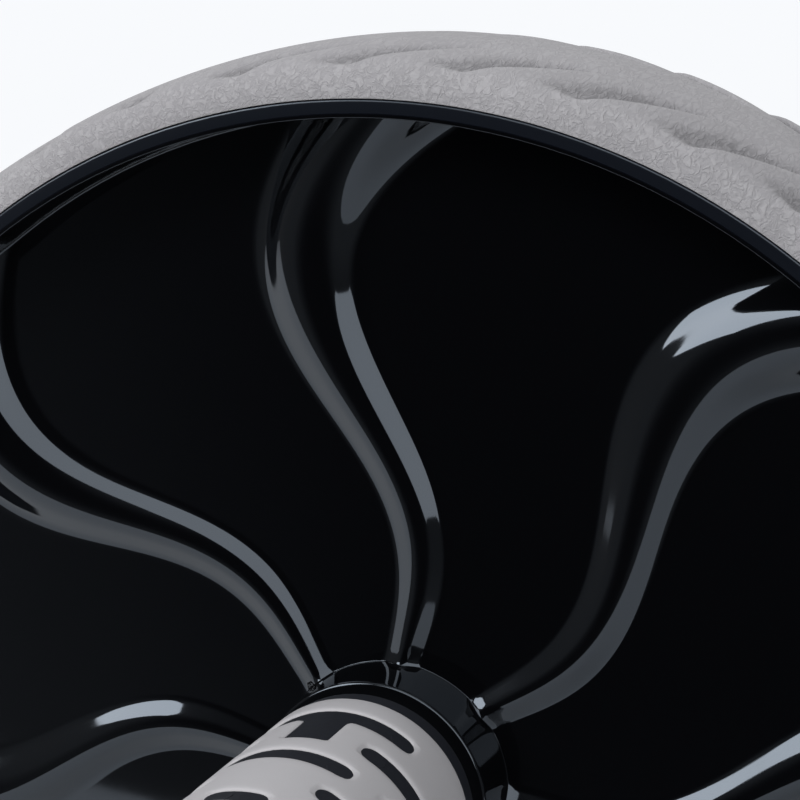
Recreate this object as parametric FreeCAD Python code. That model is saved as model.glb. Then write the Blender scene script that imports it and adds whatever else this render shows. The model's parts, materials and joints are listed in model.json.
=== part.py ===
import FreeCAD, Part
import math
import os

# Ab wheel roller: a wide wheel that spins on a steel axle between two fixed grips.
# Millimetres and degrees. The axle lies along Y, the origin is the wheel's centre and +Z is up.
# Every paired piece is modelled on the +Y (left) side and turned half a turn about Z for the right.

Vector = FreeCAD.Vector
origin = Vector(0, 0, 0)
axle_line = Vector(0, 1, 0)
upright = Vector(0, 0, 1)

# Fits
run_gap = 0.04            # axle in its bushes, on the radius
press_gap = 0.02          # bushes, screws and cores in their seats, on the radius
seat_gap = 0.05           # rubber on plastic, face to face
thrust_gap = 0.15         # end play between the spinning hub and the fixed washers
loose_gap = 0.3           # screws in clearance holes, on the radius

# Wheel and tyre
tyre_dia = 190.0          # over the middle of the tread
tyre_rise = 6.5           # middle of the tread above the black lips
tread_crown = 2.1         # fall of the tread's curve from its middle to the lip faces
shoulder_radius = 5.0
wheel_width = 46.5        # lip face to lip face
lip_height = 0.8          # lip above the drum that the tyre sits on
lip_thickness = 2.0
lip_round = 0.4
drum_wall = 1.5
web_wall = 2.6
dish_depth_rim = 9.0      # panel behind the lip face, near the rim
dish_depth_hub = 7.2      # panel behind the lip face, near the hub
dish_fillet = 0.3

# Tread lugs: a step along one edge of each groove, and a slope up from it
lug_count = 40
lug_first = 5.4           # angle of the first step, half way along it
lug_slant = 50.0          # lean of the step from the axle's direction
lug_reach = 15.0          # groove's length along the axle
lug_margin = 1.2          # from the lip face to the groove's outer end
lug_depth = 1.5           # step at the outer end
lug_fade = 0.2            # step at the inner end
lug_slope = 8.5           # width of the slope

# Hub boss
boss_dia = 30.6           # at the boss's front edge
boss_draft = 2.5          # taper of its side
boss_proud = 1.0          # in front of the lip face
boss_round = 0.5
boss_fillet = 0.8
hub_tube_dia = 26.0       # inside the wheel
hub_bore_dia = 16.0       # clear of the axle

# Ribs: S-shaped in the wheel's plane, round on top, with sloping flanks
rib_count = 8
rib_first = -4.5          # angle of the first rib's hub end
rib_lean = -4.9           # angle from the hub end to the rim end
rib_waves = (-6.8, 6.7, 1.4, 0.5)   # sine terms of one to four half waves added to that
rib_embed = 0.9           # how far each end is sunk into the boss and the drum
rib_height = (0.95, 1.75, 2.3)  # crest over the panel: at the hub, steady growth, growth close to the rim
rib_foot = (2.2, 5.6, 2.2)      # half width on the panel, in the same way
rib_round = (1.4, 9.0, 0.0)     # radius over the crest, in the same way
rib_flare_power = 6.0
rib_stations = 13

# Screws that close the two shells
shell_screw_count = 8
shell_screw_circle = 104.0    # diameter of the circle that they stand on
shell_screw_offset = 33.8     # angle from a rib's hub end
shell_screw_dia = 3.8
shell_screw_head = 7.2
shell_screw_head_height = 2.4
shell_screw_grip = 6.0        # head seat to the joint of the shells
shell_screw_bite = 8.0        # into the far shell
shell_post_wall = 2.4
cross_width = 1.0
cross_depth = 1.3

# Axle, bushes, washers and rings
axle_dia = 12.0
axle_chamfer = 0.8
bush_dia = 18.0
bush_length = 14.0
bush_flange_dia = 24.0
bush_flange = 1.5
thrust_washer_dia = 23.0
thrust_washer = 1.5
ring_dia = 17.6
ring_thickness = 1.0
ring_opening = 70.0           # angle of the gap between the ring's ends
groove_depth = 0.7

# Handle
collar_dia = 29.0
collar_length = 3.0
collar_round = 0.5
core_dia = 26.4
grip_dia = 29.7
grip_length = 123.2
grip_round = 0.6
core_end_wall = 4.0           # wall that the axle screw pulls against
core_mouth_dia = 18.0         # pocket for the screw's head and the cap's plug
core_mouth_depth = 8.0
cap_dia = 29.2
cap_thickness = 5.0
cap_round = 2.4
cap_plug_wall = 2.2
screw_dia = 6.0
screw_length = 16.0
screw_head_dia = 10.4
screw_head_height = 3.3
screw_socket = 4.0            # across the flats
screw_socket_depth = 2.2
screw_washer_dia = 16.0
screw_washer = 1.4

# Slots in the grip, and the core's pads that fill them to just under the grip's surface
slot_width = 3.4
slot_pitch = 7.35
slot_margin = 6.25            # from the grip's inner end to the first row
slot_recess = 0.35            # grip's surface down to the pads
slot_turn = 93.75             # angle of the first column's middle
# Half lengths, in degrees, of a row's slot in the first column, of its slot in the column a quarter turn on,
# and of the stem that joins this row to the one before it
slot_rows = ((45, 0, 0), (0, 63, 11.25), (34, 40, 0), (0, 63, 0), (15, 60, 0))

# Places along the axle, worked out from the middle of the wheel outwards
half_width = wheel_width / 2
tyre_radius = tyre_dia / 2
rim_radius = tyre_radius - tyre_rise
drum_radius = rim_radius - lip_height
drum_inside = drum_radius - drum_wall
boss_front = half_width + boss_proud
washer_start = boss_front + thrust_gap
collar_start = washer_start + thrust_washer + thrust_gap
grip_start = collar_start + collar_length
grip_end = grip_start + grip_length
core_wall_outside = grip_end - core_mouth_depth
axle_end = core_wall_outside - core_end_wall
cap_end = grip_end + seat_gap + cap_thickness


def outline(corners):
    """Closed wire of straight runs through (radius, along the axle, rounding) corners."""
    points = [Vector(radius, along, 0) for radius, along, rounding in corners]
    starts, ends, arcs = [], [], []
    for index, point in enumerate(points):
        rounding = corners[index][2]
        back = points[index - 1] - point
        ahead = points[(index + 1) % len(points)] - point
        half = back.getAngle(ahead) / 2
        run = min(rounding / math.tan(half), 0.45 * back.Length, 0.45 * ahead.Length) if rounding else 0
        back.normalize()
        ahead.normalize()
        starts.append(point + back * run)
        ends.append(point + ahead * run)
        if rounding:
            inward = (back + ahead).normalize()
            middle = point + inward * (run / math.cos(half) - run * math.tan(half))
            arcs.append(Part.Arc(starts[-1], middle, ends[-1]).toShape())
        else:
            arcs.append(None)
    edges = []
    for index, arc in enumerate(arcs):
        if arc:
            edges.append(arc)
        following = starts[(index + 1) % len(starts)]
        edges.append(Part.LineSegment(ends[index], following).toShape())
    return Part.Wire(edges)


def turned(corners):
    """Solid turned about the axle from an outline."""
    return Part.Face(outline(corners)).revolve(origin, axle_line, 360)


def square(*corners):
    """Corners of an outline with no rounding."""
    return [(radius, along, 0) for radius, along in corners]


def tube(inside, outside, start, end):
    return turned(square((inside, start), (outside, start), (outside, end), (inside, end)))


def rod(radius, start, end):
    return Part.makeCylinder(radius, end - start, axle_line * start, axle_line)


def outward(angle):
    """Direction from the axle, for an angle that is seen from outside the wheel's left face."""
    return Vector(-math.cos(math.radians(angle)), 0, math.sin(math.radians(angle)))


def around(angle):
    """Direction in which that angle grows."""
    return Vector(math.sin(math.radians(angle)), 0, math.cos(math.radians(angle)))


def copies(shape, count, first=0.0):
    """The shape turned about the axle into evenly spaced places."""
    return [shape.rotated(origin, axle_line, first + 360.0 * index / count) for index in range(count)]


def tyre():
    """Rubber ring over the drum and both lips, with a crowned tread and round shoulders."""
    inner = drum_radius + seat_gap
    step = rim_radius + seat_gap
    channel = half_width - lip_thickness - seat_gap
    crown_radius = (half_width ** 2 + tread_crown ** 2) / (2 * tread_crown)
    crown_centre = tyre_radius - crown_radius
    # The shoulder's round is no larger than the height of the tyre's side lets it be.
    slope = math.asin(half_width / crown_radius)
    side_height = tyre_radius - tread_crown - step
    rounding = min(shoulder_radius, side_height * math.tan((math.pi / 2 + slope) / 2))
    shoulder_middle = half_width - rounding
    shoulder_centre = crown_centre + math.sqrt((crown_radius - rounding) ** 2 - shoulder_middle ** 2)
    lean = math.atan2(shoulder_middle, shoulder_centre - crown_centre)

    def on_shoulder(turn, side):
        radius = shoulder_centre + rounding * math.cos(turn)
        return Vector(radius, side * (shoulder_middle + rounding * math.sin(turn)), 0)

    half_turn = (lean + math.pi / 2) / 2
    base = [(step, half_width), (step, channel), (inner, channel),
            (inner, -channel), (step, -channel), (step, -half_width)]
    stops = [on_shoulder(math.pi / 2, 1)] + [Vector(radius, along, 0) for radius, along in base]
    stops.append(on_shoulder(math.pi / 2, -1))
    edges = [Part.LineSegment(a, b).toShape() for a, b in zip(stops, stops[1:])]
    edges.append(Part.Arc(stops[-1], on_shoulder(half_turn, -1), on_shoulder(lean, -1)).toShape())
    edges.append(Part.Arc(on_shoulder(lean, -1), Vector(tyre_radius, 0, 0), on_shoulder(lean, 1)).toShape())
    edges.append(Part.Arc(on_shoulder(lean, 1), on_shoulder(half_turn, 1), stops[0]).toShape())
    ring = Part.Face(Part.Wire(edges)).revolve(origin, axle_line, 360)

    def tread_radius(along):
        if along < crown_radius * math.sin(lean):
            return crown_centre + math.sqrt(crown_radius ** 2 - along ** 2)
        return shoulder_centre + math.sqrt(rounding ** 2 - (along - shoulder_middle) ** 2)

    outer_end = half_width - lug_margin
    inner_end = outer_end - lug_reach
    swing = math.degrees(lug_reach * math.tan(math.radians(lug_slant)) / tyre_radius)
    groove = Part.makeLoft([lug_section(outer_end, swing / 2, lug_depth, tread_radius(outer_end)),
                            lug_section(inner_end, -swing / 2, lug_fade, tread_radius(inner_end))], True, True)
    grooves = copies(groove, lug_count, -lug_first)
    mirrored = [cut.mirror(origin, axle_line) for cut in grooves]
    return ring.cut(grooves + mirrored)


def lug_section(along, angle, depth, radius):
    """Triangle of a groove: a step square to the tread, then a slope up to the tread's surface."""
    lean = math.radians(lug_slant)
    away = outward(180 - angle)
    across = around(180 - angle) * -math.cos(lean) - axle_line * math.sin(lean)
    foot = away * radius + axle_line * along
    corners = [foot - away * depth, foot + across * lug_slope,
               foot + across * lug_slope + away * lug_slope, foot + away * lug_slope]
    return Part.makePolygon(corners + corners[:1])


def dish_depth(radius):
    """Depth of the panel behind the lip face, straight from the hub to the rim."""
    share = (radius - boss_dia / 2) / (drum_inside - boss_dia / 2)
    return dish_depth_hub + (dish_depth_rim - dish_depth_hub) * share


def flared(sizes, share):
    """A rib's size at a share of its length: it grows steadily from the hub, and more close to the rim."""
    hub, growth, flare = sizes
    return hub + growth * share + flare * share ** rib_flare_power


def rib_section(share):
    """Round-topped rib section, at a share of the way from its hub end to its rim end."""
    start = boss_dia / 2 - rib_embed
    end = drum_inside + rib_embed
    radius = start + (end - start) * share
    waves = [size * math.sin((number + 1) * math.pi * share) for number, size in enumerate(rib_waves)]
    angle = rib_first - rib_lean * share - sum(waves)
    foot = flared(rib_foot, share)
    top = flared(rib_round, share)
    panel = half_width - dish_depth(radius)
    crest = panel + flared(rib_height, share)
    # The flank runs from the foot on the panel to where it is tangent to the crest's circle.
    drop = crest - top - panel
    tangent = math.acos(top / math.hypot(foot, drop)) - math.atan2(drop, foot)
    shoulder = top * math.cos(tangent)
    shoulder_level = crest - top + top * math.sin(tangent)
    base_level = panel - web_wall / 2
    base = foot + (foot - shoulder) * (panel - base_level) / (shoulder_level - panel)

    def place(aside, level):
        return outward(angle) * radius + around(angle) * aside + axle_line * level

    left, right = place(-base, base_level), place(base, base_level)
    left_top, right_top = place(-shoulder, shoulder_level), place(shoulder, shoulder_level)
    return Part.Wire([Part.LineSegment(left, right).toShape(),
                      Part.LineSegment(right, right_top).toShape(),
                      Part.Arc(right_top, place(0, crest), left_top).toShape(),
                      Part.LineSegment(left_top, left).toShape()])


def plain_shell():
    """Wheel half: rim lip, drum, dished web, ribs and hub, before its bores and screw posts."""
    boss_radius = boss_dia / 2
    boss_floor = half_width - dish_depth_hub
    boss_foot = boss_radius + (boss_front - boss_floor) * math.tan(math.radians(boss_draft))
    rim_floor = half_width - dish_depth_rim
    hub_radius = hub_tube_dia / 2
    body = turned([
        (drum_radius, 0, 0),
        (drum_radius, half_width - lip_thickness, 0),
        (rim_radius, half_width - lip_thickness, lip_round),
        (rim_radius, half_width, lip_round),
        (drum_inside, half_width, lip_round),
        (drum_inside, rim_floor, dish_fillet),
        (boss_foot, boss_floor, boss_fillet),
        (boss_radius, boss_front, boss_round),
        (hub_bore_dia / 2, boss_front, 0),
        (hub_bore_dia / 2, 0, 0),
        (hub_radius, 0, 0),
        (hub_radius, boss_floor - web_wall, boss_fillet),
        (drum_inside, rim_floor - web_wall, boss_fillet),
        (drum_inside, 0, 0),
    ])
    stations = [index / (rib_stations - 1) for index in range(rib_stations)]
    rib = Part.makeLoft([rib_section(share) for share in stations], True, False)
    return body.fuse(copies(rib, rib_count))


def bush_seat():
    """What the bush and its flange take out of a hub boss."""
    hole = rod(bush_dia / 2 + press_gap, boss_front - bush_length - press_gap, boss_front)
    recess = rod(bush_flange_dia / 2 + press_gap, boss_front - bush_flange, boss_front + boss_proud)
    return hole.fuse(recess)


def on_screw_circle(shape):
    """A screw, post or hole about the axle, copied to each screw's place on the left shell."""
    first = outward(rib_first + shell_screw_offset) * (shell_screw_circle / 2)
    return copies(shape.translated(first), shell_screw_count)


def post(end):
    return rod(shell_screw_head / 2 + loose_gap + shell_post_wall, 0, end)


def left_shell(plain):
    """Wheel half with the screws' heads, each in a pocket between two ribs."""
    panel = half_width - dish_depth(shell_screw_circle / 2)
    posts = on_screw_circle(post(panel - web_wall / 2))
    hole = rod(shell_screw_dia / 2 + loose_gap, 0, shell_screw_grip)
    pocket = rod(shell_screw_head / 2 + loose_gap, shell_screw_grip, half_width)
    return plain.fuse(posts).cut(on_screw_circle(hole) + on_screw_circle(pocket) + [bush_seat()])


def right_shell(plain):
    """The photographed wheel half, with blind posts inside that take the screws' points."""
    panel = half_width - dish_depth(shell_screw_circle / 2)
    posts = on_screw_circle(rod(shell_screw_dia / 2 + shell_post_wall, web_wall / 2 - panel, 0))
    pilot = rod(shell_screw_dia / 2 + press_gap, -shell_screw_bite - loose_gap, 0)
    return right_side(plain.cut(bush_seat())).fuse(posts).cut(on_screw_circle(pilot))


def shell_screws():
    """Cross-head screws, from their seats in the left shell into the right one's posts."""
    head_top = shell_screw_grip + shell_screw_head_height
    radius = shell_screw_dia / 2
    head = shell_screw_head / 2
    screw = turned([(0, -shell_screw_bite, 0), (radius / 2, -shell_screw_bite, 0),
                    (radius, radius - shell_screw_bite, 0), (radius, shell_screw_grip, 0),
                    (head, shell_screw_grip, 0), (head, head_top, shell_screw_head_height / 2),
                    (0, head_top, 0)])
    arm = shell_screw_head * 0.6
    bars = []
    for length, width in ((arm, cross_width), (cross_width, arm)):
        corner = Vector(-length / 2, head_top - cross_depth, -width / 2)
        bars.append(Part.makeBox(length, shell_screw_head_height, width, corner))
    return Part.makeCompound(on_screw_circle(screw.cut(bars)))


def bush():
    """Flanged bush, pressed into the hub boss with its flange level with the boss's front."""
    bore = axle_dia / 2 + run_gap
    flange_back = boss_front - bush_flange
    return turned(square((bore, boss_front - bush_length), (bush_dia / 2, boss_front - bush_length),
                         (bush_dia / 2, flange_back), (bush_flange_dia / 2, flange_back),
                         (bush_flange_dia / 2, boss_front), (bore, boss_front)))


def ring_place():
    """Where the retaining ring starts on the axle, just outside the thrust washer."""
    return washer_start + thrust_washer + seat_gap


def axle():
    """Steel rod with a groove for each retaining ring and a tapped hole in each end."""
    radius = axle_dia / 2
    bar = turned([(0, -axle_end, 0), (radius - axle_chamfer, -axle_end, 0),
                  (radius, axle_chamfer - axle_end, 0), (radius, axle_end - axle_chamfer, 0),
                  (radius - axle_chamfer, axle_end, 0), (0, axle_end, 0)])
    groove = tube(radius - groove_depth, radius + groove_depth, ring_place(),
                  ring_place() + ring_thickness + seat_gap)
    tap = rod(screw_dia / 2 + press_gap, axle_end - screw_length, axle_end)
    cuts = [groove, tap]
    return bar.cut(cuts + [right_side(cut) for cut in cuts])


def thrust_washer_disc():
    return tube(axle_dia / 2 + run_gap, thrust_washer_dia / 2, washer_start, washer_start + thrust_washer)


def retaining_ring():
    """Open ring in the axle's groove, with its gap at the bottom."""
    start = ring_place() + seat_gap / 2
    ring = tube(axle_dia / 2 - groove_depth + press_gap, ring_dia / 2, start, start + ring_thickness)
    half = ring_opening / 2
    reach = ring_dia
    wedge = Part.makePolygon([axle_line * start,
                              axle_line * start + outward(-90 - half) * reach,
                              axle_line * start + outward(-90 + half) * reach,
                              axle_line * start])
    return ring.cut(Part.Face(wedge).extrude(axle_line * ring_thickness))


def handle_core():
    """Handle tube with a collar at the wheel's end and a wall for the axle's screw at the other."""
    pocket = ring_dia / 2 + loose_gap
    pocket_end = ring_place() + ring_thickness + loose_gap
    bore = axle_dia / 2 + press_gap
    hole = screw_dia / 2 + loose_gap
    mouth = core_mouth_dia / 2
    body = turned([
        (pocket, collar_start, 0),
        (collar_dia / 2, collar_start, collar_round),
        (collar_dia / 2, grip_start, collar_round),
        (core_dia / 2, grip_start, 0),
        (core_dia / 2, grip_end, 0),
        (mouth, grip_end, 0),
        (mouth, core_wall_outside, 0),
        (hole, core_wall_outside, 0),
        (hole, axle_end, 0),
        (bore, axle_end, 0),
        (bore, pocket_end, 0),
        (pocket, pocket_end, 0),
    ])
    return body.fuse(slot_shapes(seat_gap, grip_dia / 2 - slot_recess))


def sector(start, end, middle, half, outside):
    """Bar round the handle between two places on the axle, from inside the core out to a radius."""
    inside = core_dia / 2 - slot_width / 2
    bar = outline(square((-inside, start), (-outside, start), (-outside, end), (-inside, end)))
    return Part.Face(bar).revolve(origin, axle_line, 2 * half).rotated(origin, axle_line, middle - half)


def round_ended(along, middle, half, spare, outside):
    """A slot's shape, smaller by a clearance all round: a sector and a half circle at each end."""
    inside = core_dia / 2 - slot_width / 2
    reach = slot_width / 2 - spare
    tip = math.degrees(slot_width / grip_dia)
    straight = max(half - tip, tip / 10)
    pieces = [sector(along - reach, along + reach, middle, straight, outside)]
    for angle in (middle - straight, middle + straight):
        start = outward(angle) * inside + axle_line * along
        pieces.append(Part.makeCylinder(reach, outside - inside, start, outward(angle)))
    return pieces


def slot_shapes(spare, outside):
    """All slots' shapes out to a radius: the motif runs forwards, then backwards, on both sides of the grip."""
    rows = int((grip_length - 2 * slot_margin) / slot_pitch) + 1
    places = [grip_start + slot_margin + row * slot_pitch for row in range(rows)]
    last = len(slot_rows) - 1
    reach = slot_width / 2 - spare
    shapes = []
    for row, along in enumerate(places):
        step = row % (2 * last)
        way = -1 if step <= last else 1
        first, second, stem = slot_rows[min(step, 2 * last - step)]
        for turn in (slot_turn, slot_turn + 180):
            for middle, half in ((turn, first), (turn - 90, second)):
                if half:
                    shapes += round_ended(along, middle, half, spare, outside)
            if stem and 0 <= row + way < rows:
                start, end = sorted((places[row + way], along - way * reach))
                shapes.append(sector(start, end, turn, stem - math.degrees(2 * spare / grip_dia), outside))
    return shapes


def grip():
    """Rubber sleeve on the core, with staggered rows of slots that show the core's pads."""
    inside = core_dia / 2 + seat_gap
    outside = grip_dia / 2
    sleeve = turned([(inside, grip_start + seat_gap, 0), (outside, grip_start + seat_gap, grip_round),
                     (outside, grip_end, grip_round), (inside, grip_end, 0)])
    return sleeve.cut(slot_shapes(0, grip_dia / 2 + slot_width))


def screw_washer_disc():
    return tube(screw_dia / 2 + loose_gap, screw_washer_dia / 2, core_wall_outside,
                core_wall_outside + screw_washer)


def axle_screw():
    """Socket-head screw through the core's end wall into the axle."""
    seat = core_wall_outside + screw_washer
    top = seat + screw_head_height
    point = seat - screw_length + seat_gap
    screw = turned([(0, point, 0), (screw_dia / 2, point, 0), (screw_dia / 2, seat, 0),
                    (screw_head_dia / 2, seat, 0), (screw_head_dia / 2, top, screw_head_height / 2),
                    (0, top, 0)])
    corner_radius = screw_socket / math.sqrt(3)
    level = axle_line * (top - screw_socket_depth)
    corners = [level + outward(60 * index) * corner_radius for index in range(7)]
    socket = Part.Face(Part.makePolygon(corners)).extrude(axle_line * screw_head_height)
    return screw.cut(socket)


def end_cap():
    """Round cap with a flat outer face and a plug ring that fits the core's mouth."""
    plug = core_mouth_dia / 2 - seat_gap
    plug_start = core_wall_outside + screw_washer + loose_gap
    face = grip_end + seat_gap
    ceiling = core_wall_outside + screw_washer + screw_head_height + loose_gap
    return turned([
        (0, ceiling, 0),
        (plug - cap_plug_wall, ceiling, 0),
        (plug - cap_plug_wall, plug_start, 0),
        (plug, plug_start, 0),
        (plug, face, 0),
        (cap_dia / 2, face, seat_gap),
        (cap_dia / 2, cap_end, cap_round),
        (0, cap_end, 0),
    ])


def right_side(shape):
    return shape.rotated(origin, upright, 180)


def write(name, shape):
    if not shape.isValid():
        raise ValueError(name + " is not a valid solid")
    shape.exportStep("parts/" + name + ".step")
    print(name, len(shape.Solids), "solid(s),", round(shape.Volume / 1000, 2), "cm3")


os.makedirs("parts", exist_ok=True)
write("tyre", tyre())
plain = plain_shell()
write("left_shell", left_shell(plain))
write("right_shell", right_shell(plain))
write("shell_screws", shell_screws())
write("axle", axle())
pairs = {
    "bush": bush,
    "thrust_washer": thrust_washer_disc,
    "retaining_ring": retaining_ring,
    "handle_core": handle_core,
    "grip": grip,
    "screw_washer": screw_washer_disc,
    "axle_screw": axle_screw,
    "end_cap": end_cap,
}
for piece, make in pairs.items():
    shape = make()
    write("left_" + piece, shape)
    write("right_" + piece, right_side(shape))
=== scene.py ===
import bpy
import json
import math
import numpy as np
from mathutils import Matrix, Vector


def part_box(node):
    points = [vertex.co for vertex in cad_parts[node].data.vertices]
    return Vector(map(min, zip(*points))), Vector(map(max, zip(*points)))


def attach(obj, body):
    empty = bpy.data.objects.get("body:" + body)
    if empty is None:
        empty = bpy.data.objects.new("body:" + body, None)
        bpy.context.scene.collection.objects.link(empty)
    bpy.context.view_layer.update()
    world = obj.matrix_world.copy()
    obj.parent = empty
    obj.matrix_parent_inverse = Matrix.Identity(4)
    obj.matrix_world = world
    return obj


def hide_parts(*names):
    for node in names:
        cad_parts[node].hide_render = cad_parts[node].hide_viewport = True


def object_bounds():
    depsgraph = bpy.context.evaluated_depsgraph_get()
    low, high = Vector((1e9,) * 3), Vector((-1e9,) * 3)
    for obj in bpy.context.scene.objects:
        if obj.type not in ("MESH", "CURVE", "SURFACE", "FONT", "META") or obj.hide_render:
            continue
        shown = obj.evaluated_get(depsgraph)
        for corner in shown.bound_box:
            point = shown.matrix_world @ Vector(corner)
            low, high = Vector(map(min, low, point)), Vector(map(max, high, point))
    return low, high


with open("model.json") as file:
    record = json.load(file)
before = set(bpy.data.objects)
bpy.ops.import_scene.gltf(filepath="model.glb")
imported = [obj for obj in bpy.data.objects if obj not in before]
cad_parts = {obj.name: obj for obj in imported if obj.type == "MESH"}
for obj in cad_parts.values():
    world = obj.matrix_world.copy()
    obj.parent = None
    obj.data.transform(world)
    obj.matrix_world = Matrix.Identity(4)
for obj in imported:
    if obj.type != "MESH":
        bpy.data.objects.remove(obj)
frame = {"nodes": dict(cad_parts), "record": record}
cadLow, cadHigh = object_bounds()
mm = 0.001
print("frame: loaded", len(frame["nodes"]), "nodes")


# Shader maths: a socket that takes part in Python expressions
class Value:
    def __init__(self, tree, socket):
        self.tree = tree
        self.socket = socket

    def node(self, kind, settings=None, **inputs):
        # new node with its settings and inputs; a blank in an input's name is written as an underscore
        made = self.tree.nodes.new(kind)
        for key, value in (settings or {}).items():
            setattr(made, key, value)
        for key, value in inputs.items():
            plug(self.tree, value, made.inputs[key.replace("_", " ")])
        return made

    def out(self, made, name=0):
        return Value(self.tree, made.outputs[name])

    def maths(self, operation, *terms):
        made = self.node("ShaderNodeMath", {"operation": operation})
        for index, value in enumerate(terms):
            plug(self.tree, value, made.inputs[index])
        return self.out(made)

    def __add__(self, other):
        return self.maths("ADD", self, other)

    def __radd__(self, other):
        return self.maths("ADD", other, self)

    def __sub__(self, other):
        return self.maths("SUBTRACT", self, other)

    def __rsub__(self, other):
        return self.maths("SUBTRACT", other, self)

    def __mul__(self, other):
        return self.maths("MULTIPLY", self, other)

    def __rmul__(self, other):
        return self.maths("MULTIPLY", other, self)

    def __pow__(self, other):
        return self.maths("POWER", self, other)

    def __abs__(self):
        return self.maths("ABSOLUTE", self)

    def ramp(self, low, high):
        # smooth step of this value from low to high
        settings = {"interpolation_type": "SMOOTHSTEP"}
        return self.out(self.node("ShaderNodeMapRange", settings, Value=self, From_Min=low, From_Max=high))

    def mix(self, first, second):
        # colour that goes from first to second as this value goes from 0 to 1; the node has several inputs of
        # one name, so its factor and two colours are found by number
        made = self.node("ShaderNodeMix", {"data_type": "RGBA"})
        for index, value in ((0, self), (6, first), (7, second)):
            plug(self.tree, value, made.inputs[index])
        return self.out(made, 2)


def plug(tree, value, socket):
    # links a value to a socket, or sets a constant there; a colour may be given without its alpha
    if isinstance(value, Value):
        tree.links.new(value.socket, socket)
    elif socket.type == "RGBA" and len(value) == 3:
        socket.default_value = (*value, 1.0)
    else:
        socket.default_value = value


def newMaterial(name, constants):
    # a Principled material with its constant sockets set, and the object's own coordinates to build on
    material = bpy.data.materials.new(name)
    material.use_nodes = True
    tree = material.node_tree
    shader = tree.nodes["Principled BSDF"]
    for key, value in constants.items():
        plug(tree, value, shader.inputs[key])
    coords = tree.nodes.new("ShaderNodeTexCoord")
    return material, shader, Value(tree, coords.outputs["Object"])


def noise(place, scale, detail=2.0, roughness=0.5, distortion=0.0):
    # soft noise about 0.5, with scale waves to the metre
    made = place.node("ShaderNodeTexNoise", None, Vector=place, Scale=scale, Detail=detail,
                      Roughness=roughness, Distortion=distortion)
    return place.out(made, "Fac")


def bump(shader, height, depth, strength=1.0):
    # tilts the shader's normals as if a height of 1 stood out by a depth
    made = height.node("ShaderNodeBump", None, Height=height, Distance=depth, Strength=strength)
    height.tree.links.new(made.outputs["Normal"], shader.inputs["Normal"])


# Finishes
glossLook = {
    "colour": (0.0014, 0.0015, 0.002), "roughness": 0.045, "ior": 1.555, "tint": (0.75, 0.86, 1.0, 1.0),
    "lipPaintedSheen": (0.002, 0.0028, 0.0055), "lipStart": 86.55 * mm, "lipBlend": 0.3 * mm, "lipDull": 0.25,
    "haze": 55.0, "hazeRange": (0.55, 0.85), "hazeDull": 0.04, "fine": 900.0, "fineDull": 0.015,
    "ripple": 120.0, "rippleDepth": 0.01 * mm,
}


def fromAxle(place):
    # distance from the axle's line
    parts = place.node("ShaderNodeSeparateXYZ", None, Vector=place)
    x, z = place.out(parts, 0), place.out(parts, 2)
    return (x * x + z * z) ** 0.5


def glossBlack():
    # mirror-like black plastic with faint handling haze; the lip has a duller skin, and its bluer, lighter
    # base colour is a painted sheen
    look = glossLook
    constants = {"IOR": look["ior"], "Specular Tint": look["tint"]}
    material, shader, place = newMaterial("wheelGlossBlack", constants)
    lip = fromAxle(place).ramp(look["lipStart"], look["lipStart"] + look["lipBlend"])
    haze = noise(place, look["haze"], detail=4.0, roughness=0.6).ramp(*look["hazeRange"])
    fine = noise(place, look["fine"])
    rough = look["roughness"] + haze * look["hazeDull"] + fine * look["fineDull"] + lip * look["lipDull"]
    # painted sheen: the lip's base colour is bluer and lighter than the panels' colour
    plug(place.tree, lip.mix(look["colour"], look["lipPaintedSheen"]), shader.inputs["Base Color"])
    plug(place.tree, rough, shader.inputs["Roughness"])
    bump(shader, noise(place, look["ripple"], detail=1.0), look["rippleDepth"])
    return material


# the tread's darkest colour is painted shade in the crease lines and the valleys, and also the dark side of
# the random mottling
treadLook = {
    "colour": (0.345, 0.34, 0.358), "shadeAndMottle": (0.14, 0.138, 0.147), "creaseWidth": 0.14, "ior": 1.45,
    "stretch": 0.34, "depth": 0.17 * mm, "strength": 0.8, "roughness": 0.8, "raisedGloss": 0.14,
    "valleyRange": (0.08, 0.5), "valleyDeep": 0.6, "fringeDeep": 0.4,
    "grain": 1000.0, "grainWarp": 0.6, "grainHeight": 0.3, "grainDeeper": 0.5,
    "fold": 520.0, "foldWarp": 1.0, "foldHeight": 0.1, "foldDeeper": 0.4,
    "skin": 3200.0, "skinHeight": 0.15, "patch": 60.0,
    "tone": 0.42, "creaseLineShade": 0.4, "valleyPaintedShade": 0.5, "patchTone": 0.24, "skinTone": 0.1,
}


def creases(place, scale, warp):
    # 0 along the middle value of a warped noise, 1 away from it
    wander = noise(place, scale, roughness=0.55, distortion=warp)
    return abs(wander - 0.5).ramp(0.0, treadLook["creaseWidth"])


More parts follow.
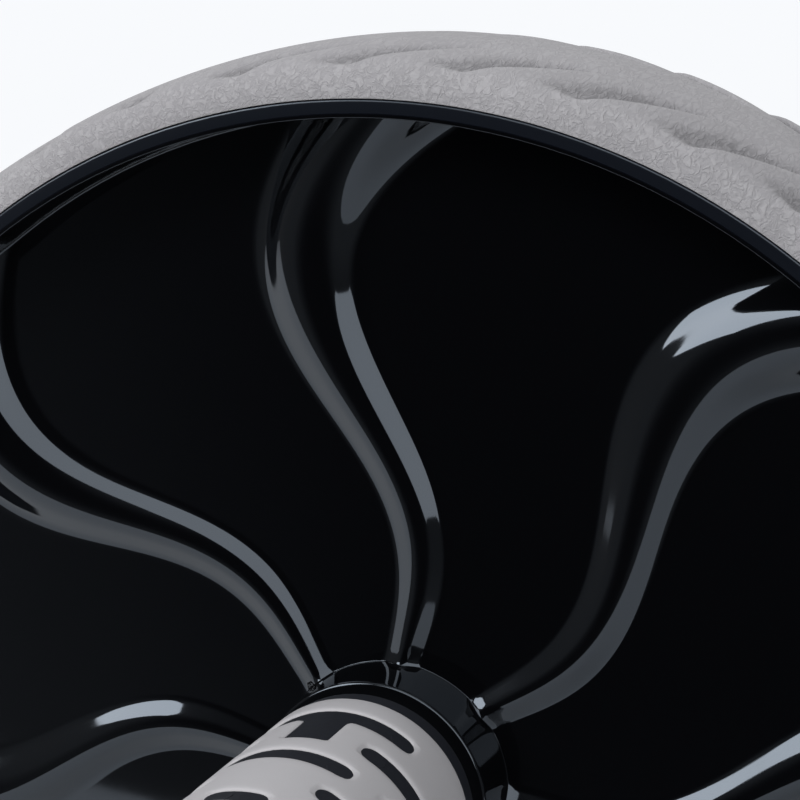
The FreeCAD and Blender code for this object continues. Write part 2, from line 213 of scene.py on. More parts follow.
def treadRubber():
    # matte rubber with fine creases and wider folds, drawn out across the tread, deeper in the valleys
    # and along the edges, and a fine skin; the crease lines and the valleys are darkened in the colour as
    # painted shade
    look = treadLook
    material, shader, place = newMaterial("treadRubber", {"IOR": look["ior"]})
    tree = place.tree
    drawn = place.out(place.node("ShaderNodeMapping", None, Vector=place, Scale=(1, look["stretch"], 1)))
    valley = place.out(place.node("ShaderNodeAttribute", {"attribute_name": "valley"}), "Fac")
    fringe = place.out(place.node("ShaderNodeAttribute", {"attribute_name": "fringe"}), "Fac")
    # mask of the valleys: it deepens the creases there and darkens the valleys as painted shade
    rough = valley.ramp(*look["valleyRange"])
    deep = rough * look["valleyDeep"] + fringe * look["fringeDeep"]
    skin = noise(place, look["skin"])
    patch = noise(place, look["patch"])
    fine = creases(drawn, look["grain"], look["grainWarp"])
    fold = creases(drawn, look["fold"], look["foldWarp"])
    raised = fine * (look["grainHeight"] + deep * look["grainDeeper"])
    raised = raised + fold * (look["foldHeight"] + deep * look["foldDeeper"])
    # painted shade: the colour is lighter away from the crease lines and darker in the valleys
    tone = look["tone"] + raised * look["creaseLineShade"] - rough * look["valleyPaintedShade"]
    tone = tone + patch * look["patchTone"] + skin * look["skinTone"]
    plug(tree, tone.mix(look["shadeAndMottle"], look["colour"]), shader.inputs["Base Color"])
    plug(tree, look["roughness"] - raised * look["raisedGloss"], shader.inputs["Roughness"])
    bump(shader, raised + skin * look["skinHeight"], look["depth"], look["strength"])
    return material


gripLook = {
    "colour": (0.42, 0.415, 0.434), "shade": (0.387, 0.382, 0.4), "ior": 1.45, "roughness": 0.5,
    "skin": 3500.0, "skinTone": 0.4, "skinDull": 0.12, "patch": 40.0, "patchTone": 0.6,
    "depth": 0.03 * mm, "strength": 0.5,
}


def gripRubber():
    # smooth satin rubber with a fine spark-eroded skin
    look = gripLook
    material, shader, place = newMaterial("gripRubber", {"IOR": look["ior"]})
    skin = noise(place, look["skin"])
    tone = skin * look["skinTone"] + noise(place, look["patch"]) * look["patchTone"]
    plug(place.tree, tone.mix(look["shade"], look["colour"]), shader.inputs["Base Color"])
    plug(place.tree, look["roughness"] + skin * look["skinDull"], shader.inputs["Roughness"])
    bump(shader, skin, look["depth"], look["strength"])
    return material


plainLook = {"dull": 0.12, "depth": 0.01 * mm, "strength": 0.5}


def plainFinish(name, colour, shade, roughness, metallic=0.0, grain=1200.0, stretch=(1, 1, 1)):
    # one finish for the small pieces: a fine grain, drawn out by stretch, moves tone, gloss and height a bit
    material, shader, place = newMaterial(name, {"Metallic": metallic})
    turned = place.node("ShaderNodeMapping", None, Vector=place, Scale=stretch)
    skin = noise(place.out(turned), grain, detail=3.0)
    plug(place.tree, skin.mix(shade, colour), shader.inputs["Base Color"])
    plug(place.tree, roughness + skin * plainLook["dull"], shader.inputs["Roughness"])
    bump(shader, skin, plainLook["depth"], plainLook["strength"])
    return material


finishes = {
    "wheel_gloss_black": glossBlack(),
    "tread_rubber": treadRubber(),
    "grip_rubber": gripRubber(),
    "core_black": plainFinish("coreBlack", (0.003, 0.0045, 0.0095), (0.0025, 0.0035, 0.0075), 0.55),
    "bush_acetal": plainFinish("bushAcetal", (0.78, 0.77, 0.73), (0.7, 0.69, 0.65), 0.4),
    "axle_steel": plainFinish("axleSteel", (0.58, 0.58, 0.59), (0.45, 0.45, 0.46), 0.25, 1.0, 700.0,
                              stretch=(1, 0.05, 1)),
    "spring_steel": plainFinish("springSteel", (0.12, 0.12, 0.13), (0.07, 0.07, 0.08), 0.35, 1.0),
    "zinc_plated_steel": plainFinish("zincPlate", (0.66, 0.67, 0.7), (0.52, 0.53, 0.56), 0.28, 1.0),
}
# only the wheel's own skins show in mirror reflections: the photograph's panels don't mirror the handles
mirrored = ("wheel_gloss_black", "tread_rubber")
for entry in frame["record"]["subparts"]:
    node = frame["nodes"][entry["node"]]
    node.data.materials[0] = finishes[entry["material_slot"]]
    node.visible_glossy = entry["material_slot"] in mirrored
print("finishes:", len(finishes))


# Surfaces from grids of points
def placed(name, data):
    # new object in the scene
    made = bpy.data.objects.new(name, data)
    bpy.context.scene.collection.objects.link(made)
    return made


def meshObject(name, points, quads, slot, sharp):
    # object of the used points and four-sided faces, smooth but for edges sharper than sharp degrees
    used, packed = np.unique(quads, return_inverse=True)
    packed = packed.reshape(quads.shape).astype(np.int32)
    mesh = bpy.data.meshes.new(name)
    mesh.vertices.add(len(used))
    mesh.vertices.foreach_set("co", points[used].astype(np.float32).ravel())
    mesh.loops.add(packed.size)
    mesh.loops.foreach_set("vertex_index", packed.ravel())
    mesh.polygons.add(len(packed))
    mesh.polygons.foreach_set("loop_start", np.arange(0, packed.size, 4, dtype=np.int32))
    mesh.polygons.foreach_set("use_smooth", np.ones(len(packed), dtype=bool))
    mesh.update(calc_edges=True)
    mesh.validate()
    mesh.set_sharp_from_angle(angle=math.radians(sharp))
    mesh.materials.append(finishes[slot])
    return placed(name, mesh)


def finished(piece, slot, body, node):
    # shows the piece in mirror reflections or not by its finish, hangs it on the body it rides on and hides
    # the node it stands for
    piece.visible_glossy = slot in mirrored
    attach(piece, body)
    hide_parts(node)


def ringQuads(index):
    # faces of a grid of point numbers whose rows and columns both close on themselves
    down = np.roll(index, -1, axis=0)
    corners = [index, down, np.roll(down, -1, axis=1), np.roll(index, -1, axis=1)]
    return np.stack(corners, axis=-1).reshape(-1, 4)


def smooth(low, high, x):
    # 0 below low, 1 above high, an even S between
    t = np.clip((x - low) / (high - low), 0.0, 1.0)
    return t * t * (3.0 - 2.0 * t)


def blendUp(first, second, width):
    # the higher of two levels, with a round crease where they are less than width apart
    apart = np.maximum(width - np.abs(first - second), 0.0)
    return np.maximum(first, second) + apart ** 2 / (4.0 * width)


def cove(distance, radius):
    # rise of a hollow quarter circle of a radius, at a distance from the wall that it runs up
    reach = np.clip(radius - distance, 0.0, radius)
    return radius - np.sqrt(radius ** 2 - reach ** 2)


def roundedLoop(corners, arcSteps, mostOfRun=0.45):
    # closed outline through (radius, along, rounding, steps) corners: an arc at each rounding, which takes at
    # most a share of the runs beside it, and the run to the next corner cut into steps
    place = np.array([corner[:2] for corner in corners], dtype=float)
    toBack = np.roll(place, 1, axis=0) - place
    toNext = np.roll(place, -1, axis=0) - place
    lengthBack = np.linalg.norm(toBack, axis=1, keepdims=True)
    lengthNext = np.linalg.norm(toNext, axis=1, keepdims=True)
    toBack, toNext = toBack / lengthBack, toNext / lengthNext
    half = np.arccos(np.clip((toBack * toNext).sum(1, keepdims=True), -1, 1)) / 2
    rounding = np.array([[corner[2]] for corner in corners], dtype=float)
    run = np.minimum(rounding / np.tan(half), mostOfRun * np.minimum(lengthBack, lengthNext))
    radius = run * np.tan(half)
    bisector = toBack + toNext
    centre = place + bisector / np.linalg.norm(bisector, axis=1, keepdims=True) * (radius / np.sin(half))
    start, end = place + toBack * run, place + toNext * run
    pieces = []
    for i, corner in enumerate(corners):
        if corner[2]:
            a = start[i] - centre[i]
            b = end[i] - centre[i]
            turn = math.atan2(a[0] * b[1] - a[1] * b[0], a @ b)
            angle = math.atan2(a[1], a[0]) + turn * np.linspace(0, 1, arcSteps + 1)
            pieces.append(centre[i] + radius[i] * np.stack([np.cos(angle), np.sin(angle)], axis=1))
        else:
            pieces.append(place[i:i + 1])
        following = start[(i + 1) % len(corners)]
        share = np.arange(1, corner[3])[:, None] / corner[3]
        pieces.append(end[i] + (following - end[i]) * share)
    return np.concatenate(pieces)


def rowCount(corners, arcSteps):
    # how many of the outline's points those corners and the runs after them give
    return sum((arcSteps if corner[2] else 0) + corner[3] for corner in corners)


def onSide(radius, angle, along, side):
    # points at a radius, an angle and a distance out from the wheel's middle; the left side is the right one
    # turned round
    x, z = side * radius * np.cos(angle), radius * np.sin(angle)
    return np.stack([x, -side * along, z], axis=-1).reshape(-1, 3)


# Wheel shells
shellLow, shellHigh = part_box("right_shell")
shell = {
    "rimRadius": shellHigh.x, "bossFront": -shellLow.y, "bossProud": 1.0 * mm,
    "lipHeight": 0.8 * mm, "lipThickness": 2.0 * mm, "lipRound": 0.4 * mm, "lipEdge": 0.12 * mm,
    "drumWall": 1.5 * mm, "webWall": 2.6 * mm,
    "dishDepthRim": 9.0 * mm, "dishDepthHub": 7.2 * mm, "dishFillet": 0.3 * mm,
    "bossRadius": 15.3 * mm, "bossDraft": 2.5, "bossRound": 0.5 * mm, "bossCrease": 0.12 * mm,
    "hubTube": 13.0 * mm, "hubBore": 8.0 * mm, "bushRadius": 9.02 * mm, "bushLength": 14.0 * mm,
    "flangeRadius": 12.02 * mm, "flange": 1.5 * mm, "innerFillet": 0.8 * mm, "arcSteps": 10, "sharp": 40,
}
shell["halfWidth"] = shell["bossFront"] - shell["bossProud"]
shell["drum"] = shell["rimRadius"] - shell["lipHeight"]
shell["drumInside"] = shell["drum"] - shell["drumWall"]
# height, foot, round and skirt are sizes at the hub, their steady growth outwards and their flare at the rim
rib = {
    "count": 8, "first": -4.5, "lean": -4.9, "waves": (-6.8, 6.7, 1.4, 0.5), "embed": 0.9 * mm,
    "height": (0.95 * mm, 1.75 * mm, 2.3 * mm), "foot": (2.2 * mm, 5.6 * mm, 2.2 * mm),
    "round": (1.4 * mm, 9.0 * mm, 0.0), "skirt": (0.2 * mm, 0.2 * mm, 1.8 * mm), "flarePower": 6.0,
    "hubCove": 0.5 * mm, "footColumns": 17, "skirtColumns": (1.07, 1.14, 1.22, 1.32), "panelColumns": 6,
}


def ribPath(radius):
    # share of the way out, and the crest's angle there: a steady lean plus sine half waves
    start = shell["bossRadius"] - rib["embed"]
    end = shell["drumInside"] + rib["embed"]
    share = np.clip((radius - start) / (end - start), 0.0, 1.0)
    waves = sum(size * np.sin((k + 1) * math.pi * share) for k, size in enumerate(rib["waves"]))
    return share, np.radians(rib["first"] - rib["lean"] * share - waves)


def flared(kind, share):
    # a size that grows steadily from the hub, and more close to the rim
    hub, growth, flare = rib[kind]
    return hub + growth * share + flare * share ** rib["flarePower"]


def dishDepth(share):
    # depth of the dished panel below the lip, at a share of the way out
    return shell["dishDepthHub"] + (shell["dishDepthRim"] - shell["dishDepthHub"]) * share


def bossWall(level):
    # radius of the boss's tapered side at a level
    return shell["bossRadius"] + (shell["bossFront"] - level) * math.tan(math.radians(shell["bossDraft"]))


def ribLevel(radius, aside):
    # height of the rib's skin over the mid plane: a circle over the crest, flanks tangent to it that run down
    # to the foot on the panel and on below it, and a cove up the boss at its end
    share = ribPath(radius)[0]
    foot = flared("foot", share)
    top = flared("round", share)
    panel = shell["halfWidth"] - dishDepth(share)
    crest = panel + flared("height", share)
    drop = crest - top - panel
    tangent = np.arccos(top / np.hypot(foot, drop)) - np.arctan2(drop, foot)
    shoulder = top * np.cos(tangent)
    shoulderLevel = crest - top + top * np.sin(tangent)
    arc = crest - top + np.sqrt(np.maximum(top ** 2 - aside ** 2, 0.0))
    flank = shoulderLevel - (aside - shoulder) * (shoulderLevel - panel) / (foot - shoulder)
    return np.where(aside < shoulder, arc, flank) + cove(radius - bossWall(crest), rib["hubCove"])


def shellColumns():
    # columns across one rib's sector: (share of the foot's width, share of the rest of the half sector)
    across = np.concatenate([np.linspace(0.0, 1.0, rib["footColumns"]), rib["skirtColumns"]])
    rest = np.linspace(0.0, 1.0, rib["panelColumns"] + 1)[1:]
    near = np.concatenate([across, np.full(len(rest), across[-1])])
    far = np.concatenate([np.zeros(len(across)), rest])
    return np.concatenate([-near[:0:-1], near[:-1]]), np.concatenate([-far[:0:-1], far[:-1]])


def shellOutline():
    # section of a wheel half: the front from the lip to the boss, then the hub, the inside and the drum
    s, half = shell, shell["halfWidth"]
    bossFloor, rimFloor = half - s["dishDepthHub"], half - s["dishDepthRim"]
    front = [
        (s["rimRadius"], half, s["lipRound"], 2),
        (s["drumInside"], half, s["lipEdge"], 18),
        (s["drumInside"], rimFloor, s["dishFillet"], 84),
        (bossWall(bossFloor), bossFloor, s["bossCrease"], 18),
    ]
    back = [
        (s["bossRadius"], s["bossFront"], s["bossRound"], 2),
        (s["flangeRadius"], s["bossFront"], 0, 1),
        (s["flangeRadius"], s["bossFront"] - s["flange"], 0, 1),
        (s["bushRadius"], s["bossFront"] - s["flange"], 0, 2),
        (s["bushRadius"], s["bossFront"] - s["bushLength"], 0, 1),
        (s["hubBore"], s["bossFront"] - s["bushLength"], 0, 2),
        (s["hubBore"], 0, 0, 1),
        (s["hubTube"], 0, 0, 2),
        (s["hubTube"], bossFloor - s["webWall"], s["innerFillet"], 8),
        (s["drumInside"], rimFloor - s["webWall"], s["innerFillet"], 2),
        (s["drumInside"], 0, 0, 1),
        (s["drum"], 0, 0, 2),
        (s["drum"], half - s["lipThickness"], 0, 1),
        (s["rimRadius"], half - s["lipThickness"], s["lipRound"], 2),
    ]
    outline = roundedLoop(front + back, s["arcSteps"])
    isFront = np.arange(len(outline)) < rowCount(front, s["arcSteps"])
    return outline[:, :1], outline[:, 1:], isFront[:, None]


def shellSurface():
    # the section carried round the axle; its columns follow the ribs, and its front rises to the ribs' skin
    radius, level, isFront = shellOutline()
    near, far = shellColumns()
    sector = 2 * math.pi / rib["count"]
    share, crestAngle = ribPath(radius)
    arm = np.maximum(radius, shell["bossRadius"])
    foot = flared("foot", share) / arm
    offset = foot * near + far * (sector / 2 - foot * near.max())
    lifted = blendUp(level, ribLevel(arm, np.abs(offset) * arm), flared("skirt", share))
    surface = np.where(isFront, lifted, level)
    turns = np.repeat(np.arange(rib["count"]) * sector, len(near))
    angles = np.tile(crestAngle + offset, (1, rib["count"])) + turns
    return np.broadcast_to(radius, angles.shape), angles, np.tile(surface, (1, rib["count"]))


screw = {
    "count": 8, "circle": 52.0 * mm, "offset": 33.8, "radius": 1.9 * mm, "head": 3.6 * mm, "loose": 0.3 * mm,
    "press": 0.02 * mm, "clamp": 6.0 * mm, "wall": 2.4 * mm, "sunk": 0.3 * mm, "cutBelow": 1.0 * mm,
    "steps": 40,
}


def turnedPosts(section, side):
    # points of a section of (radius, along) corners turned about each screw's line, as an array by screw,
    # corner and step round it
    section = np.array(section, dtype=float)
    place = np.radians(rib["first"] + screw["offset"] + 360.0 / screw["count"] * np.arange(screw["count"]))
    spin = np.linspace(0, 2 * math.pi, screw["steps"], endpoint=False)
    r, along = section[None, :, :1], section[None, :, 1:]
    x = r * np.cos(spin) - screw["circle"] * np.cos(place)[:, None, None]
    z = side * r * np.sin(spin) + screw["circle"] * np.sin(place)[:, None, None]
    return np.stack([x, -side * along + 0 * x, z], axis=-1)


def webBack():
    # level of the panel's inner face at the screws
    share = (screw["circle"] - shell["bossRadius"]) / (shell["drumInside"] - shell["bossRadius"])
    return shell["halfWidth"] - dishDepth(share) - shell["webWall"]


def wheelShell(name, node, side, post):
    # the shell's surface with its hollow screw posts, whose ends are sunk into the panel
    radius, angle, level = shellSurface()
    points = onSide(radius, angle, level, side)
    quads = ringQuads(np.arange(radius.size).reshape(radius.shape))[:, ::-1]
    posts = turnedPosts(post, side)
    index = len(points) + np.arange(posts.size // 3).reshape(posts.shape[:3])
    quads = np.concatenate([quads] + [ringQuads(ring)[:, ::-1] for ring in index])
    points = np.concatenate([points, posts.reshape(-1, 3)])
    piece = meshObject(name, points, quads, "wheel_gloss_black", shell["sharp"])
    finished(piece, "wheel_gloss_black", "wheel", node)
    return piece


def cutPockets(piece, side):
    # opens the panel over each screw's head with a round cutter
    hole = screw["head"] + screw["loose"]
    points = turnedPosts([(hole, webBack() - screw["cutBelow"]), (hole, shell["halfWidth"])], side)
    index = np.arange(points.size // 3).reshape(points.shape[:3])
    low, high = index[:, 0], index[:, 1]
    sides = np.stack([low, np.roll(low, -1, axis=1), np.roll(high, -1, axis=1), high], axis=-1).reshape(-1, 4)
    faces = sides.tolist() + low[:, ::-1].tolist() + high.tolist()
    mesh = bpy.data.meshes.new("pocketCutter")
    mesh.from_pydata(points.reshape(-1, 3).tolist(), [], faces)
    cutter = placed("pocketCutter", mesh)
    cut = piece.modifiers.new("pockets", "BOOLEAN")
    cut.operation, cut.solver, cut.object = "DIFFERENCE", "MANIFOLD", cutter
    mesh = bpy.data.meshes.new_from_object(piece.evaluated_get(bpy.context.evaluated_depsgraph_get()))
    piece.modifiers.clear()
    piece.data = mesh
    mesh.set_sharp_from_angle(angle=math.radians(shell["sharp"]))
    bpy.data.objects.remove(cutter)


def wheelShells():
    # the right half's posts take the screws' threads, and the left half's posts seat their heads
    sunk = webBack() + screw["sunk"]
    pilot, wall = screw["radius"] + screw["press"], screw["radius"] + screw["wall"]
    wheelShell("rightWheelShell", "right_shell", 1, [(pilot, 0), (wall, 0), (wall, sunk), (pilot, sunk)])
    hole, pocket, clamp = screw["radius"] + screw["loose"], screw["head"] + screw["loose"], screw["clamp"]
    wall = pocket + screw["wall"]
    seat = [(hole, 0), (wall, 0), (wall, sunk), (pocket, sunk), (pocket, clamp), (hole, clamp)]
    cutPockets(wheelShell("leftWheelShell", "left_shell", -1, seat), -1)


wheelShells()
print("wheel shells: done")


# Tyre
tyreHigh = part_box("tyre")[1]
tread = {
    "radius": tyreHigh.x, "halfWidth": tyreHigh.y, "crown": 2.1 * mm, "shoulder": 5.0 * mm,
    "step": 88.55 * mm, "inner": 87.75 * mm, "channel": 21.2 * mm, "rows": 44, "shoulderRows": 10,
    "count": 40, "first": 5.4, "swing": 9.5, "reach": 13.0 * mm, "middle": 14.4 * mm, "soft": 3.0 * mm,
    "depth": 2.0 * mm, "slopeStart": 0.1, "nose": 0.86, "bend": 1.4, "fringe": (1.0 * mm, 3.5 * mm),
    "outerFade": (1.2 * mm, 5.0 * mm), "innerFade": (9.0 * mm, 17.0 * mm), "slopeEnd": 0.82,
    "slopeColumns": 11, "noseColumns": (0.87, 0.9, 0.92, 0.94, 0.955, 0.97, 0.985), "sharp": 50,
}


def tyreOutline():
    # section of the tyre: crown arc, shoulder arcs tangent to it and to the sides, and the drum's channel
    t, half = tread, tread["halfWidth"]
    crownRadius = (half ** 2 + t["crown"] ** 2) / (2 * t["crown"])
    crownCentre = t["radius"] - crownRadius
    middle = half - t["shoulder"]
    centre = crownCentre + math.sqrt((crownRadius - t["shoulder"]) ** 2 - middle ** 2)
    lean = math.atan2(middle, centre - crownCentre)
    turn = np.linspace(math.pi / 2, lean, t["shoulderRows"])
    arc = np.stack([centre + t["shoulder"] * np.cos(turn), middle + t["shoulder"] * np.sin(turn)], axis=1)
    sweep = np.linspace(lean, -lean, t["rows"])[1:-1]
    crown = np.stack([crownCentre + crownRadius * np.cos(sweep), crownRadius * np.sin(sweep)], axis=1)
    outer = np.concatenate([arc, crown, arc[::-1] * (1, -1)])
    base = [(t["step"], -half), (t["step"], -t["channel"]), (t["inner"], -t["channel"]),
            (t["inner"], t["channel"]), (t["step"], t["channel"]), (t["step"], half)]
    return np.concatenate([outer, base]), len(outer)


def lugDepth(u):
    # fall below the tread along one lug: a slope that steepens down to the foot of a round-nosed step
    t = tread
    slope = np.clip((u - t["slopeStart"]) / (t["nose"] - t["slopeStart"]), 0.0, 1.0) ** t["bend"]
    return slope * (1.0 - smooth(t["nose"], 1.0, u))


def wheelTyre():
    # the section carried round the axle; columns lean with the lugs, in a chevron about the mid plane
    t = tread
    outline, outerRows = tyreOutline()
    radius, along = outline[:, :1], outline[:, 1:]
    u = np.concatenate([np.linspace(0.0, t["slopeEnd"], t["slopeColumns"]), t["noseColumns"]])
    pitch = 360.0 / t["count"]
    fromMiddle = np.sqrt(along ** 2 + t["soft"] ** 2)
    stepAngle = t["first"] + (fromMiddle - t["middle"]) / t["reach"] * t["swing"]
    turns = np.repeat(np.arange(t["count"]), len(u)) + np.tile(u, t["count"])
    angle = np.radians(stepAngle - pitch * turns)
    inward = t["halfWidth"] - np.abs(along)
    reach = smooth(*t["outerFade"], inward) * (1.0 - smooth(*t["innerFade"], inward))
    isOuter = (np.arange(len(outline)) < outerRows)[:, None]
    valley = reach * np.tile(lugDepth(u), t["count"]) * isOuter
    points = onSide(radius - t["depth"] * valley, angle, along + 0 * angle, 1)
    quads = ringQuads(np.arange(angle.size).reshape(angle.shape))[:, ::-1]
    piece = meshObject("wheelTyre", points, quads, "tread_rubber", t["sharp"])
    fringe = (1.0 - smooth(*t["fringe"], inward)) * isOuter + 0.0 * angle
    for label, field in (("valley", valley), ("fringe", fringe)):
        piece.data.attributes.new(label, "FLOAT", "POINT").data.foreach_set("value", field.ravel())
    finished(piece, "tread_rubber", "wheel", "tyre")


wheelTyre()
print("tyre: done")


# Grips
gripLow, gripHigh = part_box("left_grip")
# the motif gives, row by row, half lengths in degrees: of the slots in line with the turn, of those between
# them, and of the stem to the row beside it
grip = {
    "start": gripLow.y, "end": gripHigh.y, "radius": gripHigh.z, "inside": 13.25 * mm, "round": 0.6 * mm,
    "slotWidth": 3.4 * mm, "pitch": 7.35 * mm, "firstRow": 35.3 * mm, "rows": 16, "turn": 93.75,
    "motif": ((45, 0, 0), (0, 63, 11.25), (34, 40, 0), (0, 63, 0), (15, 60, 0)), "stemCorner": 0.5 * mm,
    "ease": 0.8 * mm, "edge": 0.9 * mm, "edgeDepth": 0.28 * mm, "wall": 0.04 * mm, "sharp": 50,
    "roundRows": 6, "edgeRows": (0.13, 0.44, 1.0), "columns": 200, "scan": 7201, "endInset": 3.0,
    "crowding": 3.0, "crowdReach": (4.0, 7.0), "probe": 0.01 * mm, "settle": 3, "leastSlope": 0.25,
}


def slotBars():
    # each slot as a bar: place along the grip, half width, middle angle, half length in degrees and corner
    # rounding; the motif runs forwards, then backwards, and a stem joins its row to the motif's row before it
    last = len(grip["motif"]) - 1
    reach = grip["slotWidth"] / 2
    half = (grip["pitch"] + reach) / 2
    bars = []
    for row in range(grip["rows"]):
        step = row % (2 * last)
        way = -1 if step <= last else 1
        first, second, stem = grip["motif"][min(step, 2 * last - step)]
        along = grip["firstRow"] + row * grip["pitch"]
        for turn in (grip["turn"], grip["turn"] + 180):
            if first:
                bars.append((along, reach, turn, first, reach))
            if second:
                bars.append((along, reach, turn - 90, second, reach))
            if stem and 0 <= row + way < grip["rows"]:
                bars.append((along + way * (half - reach), half, turn, stem, grip["stemCorner"]))
    return bars


def gripRows():
    # places along the grip and the outer radius there: round ends, and rows packed close at slots' edges
    arc = np.linspace(0.0, math.pi / 2, grip["roundRows"])
    lead, rise = grip["round"] * (1 - np.cos(arc)), grip["round"] * (np.sin(arc) - 1)
    half = grip["slotWidth"] / 2
    inside = [half / 3, half * 2 / 3, half - grip["wall"], half]
    near = np.array(inside + [half + grip["edge"] * share for share in grip["edgeRows"]])
    band = np.concatenate([-near[::-1], near, [grip["pitch"] / 2]])
    middle = (grip["firstRow"] + np.arange(grip["rows"])[:, None] * grip["pitch"] + band).ravel()
    middle = np.concatenate([[grip["firstRow"] - grip["pitch"] / 2], middle])
    along = np.concatenate([grip["start"] + lead, middle, grip["end"] - lead[::-1]])
    return along, grip["radius"] + np.concatenate([rise, 0 * middle, rise[::-1]])


def gripColumns(bars):
    # angles round the grip, packed close where slots end: evenly spaced on the running total of a density
    angle = np.linspace(0.0, 360.0, grip["scan"])
    ends = np.unique([(bar[2] + way * (bar[3] - grip["endInset"])) % 360 for bar in bars for way in (-1, 1)])
    apart = np.abs((angle[:, None] - ends + 180) % 360 - 180).min(axis=1)
    density = 1.0 + grip["crowding"] * (1.0 - smooth(*grip["crowdReach"], apart))
    total = np.concatenate([[0.0], np.cumsum((density[1:] + density[:-1]) / 2)])
    share = np.arange(grip["columns"]) / grip["columns"]
    return np.radians(np.interp(share, total / total[-1], angle))


def slotDistance(along, angle, bars):
    # distance to the nearest slot's edge, below 0 inside; a bar is a rounded box on the unrolled grip, and
    # the corner between two bars that meet is eased
    nearest = np.full(along.shape, 1.0)  # a metre, farther than any slot
    for place, reach, middle, half, corner in bars:
        turn = np.abs((np.degrees(angle) - middle + 180) % 360 - 180) - half
        aside = np.radians(turn) * grip["radius"] + corner
        across = np.abs(along - place) - reach + corner
        inside = np.minimum(np.maximum(aside, across), 0.0)
        bar = np.hypot(np.maximum(aside, 0.0), np.maximum(across, 0.0)) + inside - corner
        nearest = -blendUp(-nearest, -bar, grip["ease"])
    return nearest


def beside(mask):
    # places that have a place of the mask among their eight neighbours
    turns = [(i, j) for i in (-1, 0, 1) for j in (-1, 0, 1) if i or j]
    return np.any([np.roll(mask, turn, axis=(0, 1)) for turn in turns], axis=0)


def ontoEdges(along, angle, through, bars):
    # grid whose points next to a slot's edge are moved straight onto it, and those just inside it onto its
    # wall: each step goes down the slope of the distance, which small shifts measure
    goal = np.where(through, -grip["wall"], 0.0)
    moving = np.where(through, beside(~through), beside(through))
    probe = grip["probe"]
    for step in range(grip["settle"]):
        gap = slotDistance(along, angle, bars)
        lean = (slotDistance(along + probe, angle, bars) - gap) / probe
        slew = (slotDistance(along, angle + probe / grip["radius"], bars) - gap) / probe
        slope = np.maximum(lean ** 2 + slew ** 2, grip["leastSlope"])
        shift = np.where(moving, (gap - goal) / slope, 0.0)
        along, angle = along - shift * lean, angle - shift * slew / grip["radius"]
    return along, angle


def gripSleeve(name, node, side):
    # outer and inner skins on one grid; the outer one rounds over each slot's edge, drops down its wall and
    # shares the inner one's points there, and the slots' floors are left out
    bars = slotBars()
    rows, outer = gripRows()
    along, angle = np.meshgrid(rows, gripColumns(bars), indexing="ij")
    through = slotDistance(along, angle, bars) < -grip["wall"] / 2
    along, angle = ontoEdges(along, angle, through, bars)
    gap = np.clip(slotDistance(along, angle, bars) / grip["edge"], 0.0, 1.0)
    radius = outer[:, None] - grip["edgeDepth"] * cove(gap, 1.0)
    inner = np.arange(angle.size).reshape(angle.shape)
    skin = np.where(through, inner, inner + angle.size)
    points = np.concatenate([onSide(grip["inside"] + 0 * angle, angle, along, side),
                             onSide(radius, angle, along, side)])
    quads = ringQuads(np.concatenate([skin, inner[::-1]]))[:, ::-1]
    floors = np.concatenate([through.ravel(), through.ravel()])[quads].all(axis=1)
    piece = meshObject(name, points, quads[~floors], "grip_rubber", grip["sharp"])
    finished(piece, "grip_rubber", "handles", node)


gripSleeve("rightGripSleeve", "right_grip", 1)
gripSleeve("leftGripSleeve", "left_grip", -1)
print("grips: done")


# Camera, at the photograph's angle
camera = {
    "azimuth": 19.83, "elevation": 11.86, "distance": 3.6865, "right": 0.0378, "up": 0.5696,
    "lens": 115.2, "sensor": 36.0, "clipStart": 0.01,
}


def photoCamera():
    # stands back from the rim's centre by a distance, and aside and up by offsets, all in rim radii
    az, el = math.radians(camera["azimuth"]), math.radians(camera["elevation"])
    right = np.array([math.cos(az), math.sin(az), 0.0])
    back = np.array([math.cos(el) * math.sin(az), -math.cos(el) * math.cos(az), math.sin(el)])
    up = np.cross(back, right)
    stand = right * camera["right"] + up * camera["up"] + back * camera["distance"]
    data = bpy.data.cameras.new("photoCamera")
    data.lens, data.sensor_width = camera["lens"], camera["sensor"]
    data.clip_start = camera["clipStart"]
    eye = placed("photoCamera", data)
    eye.location = stand * shell["rimRadius"] + np.array([0.0, -shell["halfWidth"], 0.0])
    eye.rotation_euler = (math.pi / 2 - el, 0.0, az)
    bpy.context.scene.camera = eye


photoCamera()
print("camera: done")


# Floor, world and lamps; a box lamp has a place, a width and height, a power and a roll in degrees
studio = {
    "floor": ((-1.4, -0.36), (-0.27, -0.25), (-0.1, -0.2), (0.5, -0.24), (0.5, 1.0), (-1.4, 1.0)),
    "floorColour": (0.88, 0.89, 0.905), "floorRoughness": 0.8, "backdrop": (0.939, 0.955, 0.982),
    "room": 0.18, "curtain": 0.01, "curtainRange": (0.7, 0.95), "back": 0.9, "backRange": (-0.1, 0.2),
    "ceiling": 1.0, "ceilingRange": (0.86, 0.94),
    "leftBox": ((-0.70, -0.67, 0.70), (0.55, 0.6), 8.6, 0.0),
    "rightBox": ((0.41, -0.98, 0.74), (1.8, 0.76), 11.8, -49.0),
}


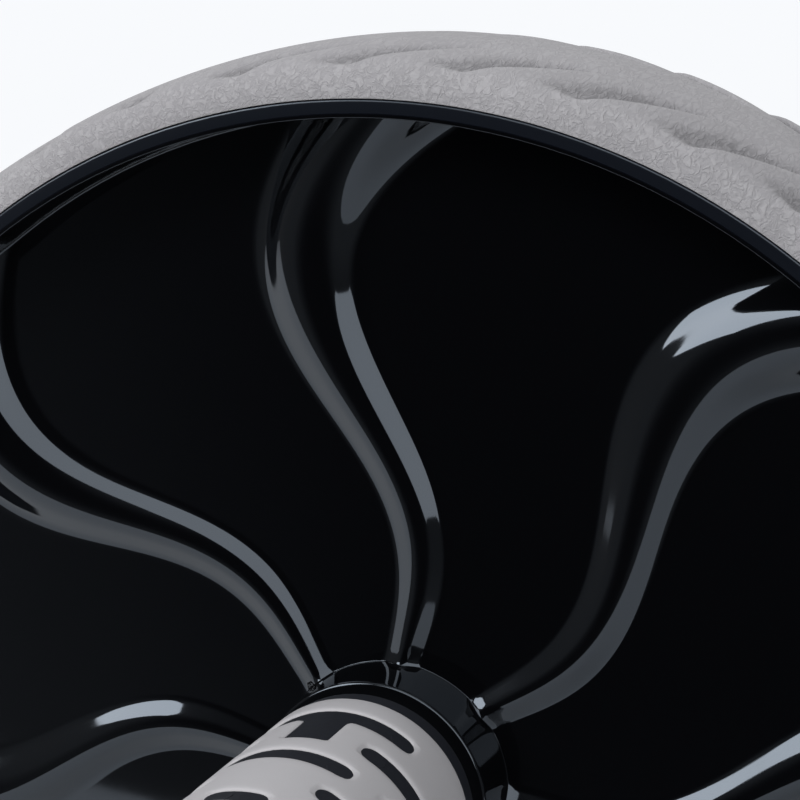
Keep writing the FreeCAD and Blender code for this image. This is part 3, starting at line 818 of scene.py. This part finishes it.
def studioFloor():
    # sheet that the wheel stands on; it ends a little in front of the wheel, so that the ribs' flanks mirror
    # it and the panels don't
    corners = [(x, y, cadLow.z) for x, y in studio["floor"]]
    mesh = bpy.data.meshes.new("floor")
    mesh.from_pydata(corners, [], [list(range(len(corners)))])
    constants = {"Base Color": studio["floorColour"], "Roughness": studio["floorRoughness"]}
    mesh.materials.append(newMaterial("floorPaper", constants)[0])
    floor = placed("floor", mesh)


def studioWorld():
    # seen directly the world is the pale backdrop; as light it is a pale wall behind the wheel, a dim room
    # with a dark curtain in front of it, and a bright patch of ceiling
    world = bpy.data.worlds.new("studio")
    bpy.context.scene.world = world
    world.use_nodes = True
    tree = world.node_tree
    background = tree.nodes["Background"]
    coords = tree.nodes.new("ShaderNodeTexCoord")
    place = Value(tree, coords.outputs["Generated"])
    parts = place.node("ShaderNodeSeparateXYZ", None, Vector=place)
    y, z = place.out(parts, 1), place.out(parts, 2)
    curtain = (0.0 - y).ramp(*studio["curtainRange"])
    front = studio["room"] + (studio["curtain"] - studio["room"]) * curtain
    level = front + (studio["back"] - front) * y.ramp(*studio["backRange"])
    light = level + (studio["ceiling"] - level) * z.ramp(*studio["ceilingRange"])
    tone = place.node("ShaderNodeCombineColor", None, Red=light, Green=light, Blue=light)
    seen = place.out(tree.nodes.new("ShaderNodeLightPath"), "Is Camera Ray")
    plug(tree, seen.mix(place.out(tone), studio["backdrop"]), background.inputs["Color"])


def softbox(name):
    # lamp of a width and height aimed at the wheel's middle and rolled about its aim
    place, size, power, roll = studio[name]
    data = bpy.data.lights.new(name, "AREA")
    data.shape, data.energy = "RECTANGLE", power
    data.size, data.size_y = size
    lamp = placed(name, data)
    lamp.location = place
    aim = (-lamp.location).to_track_quat("-Z", "Y").to_matrix()
    lamp.rotation_euler = (aim @ Matrix.Rotation(math.radians(roll), 3, "Z")).to_euler()


studioFloor()
studioWorld()
softbox("leftBox")
softbox("rightBox")
bpy.context.scene.view_settings.view_transform = "Standard"
print("studio: done")
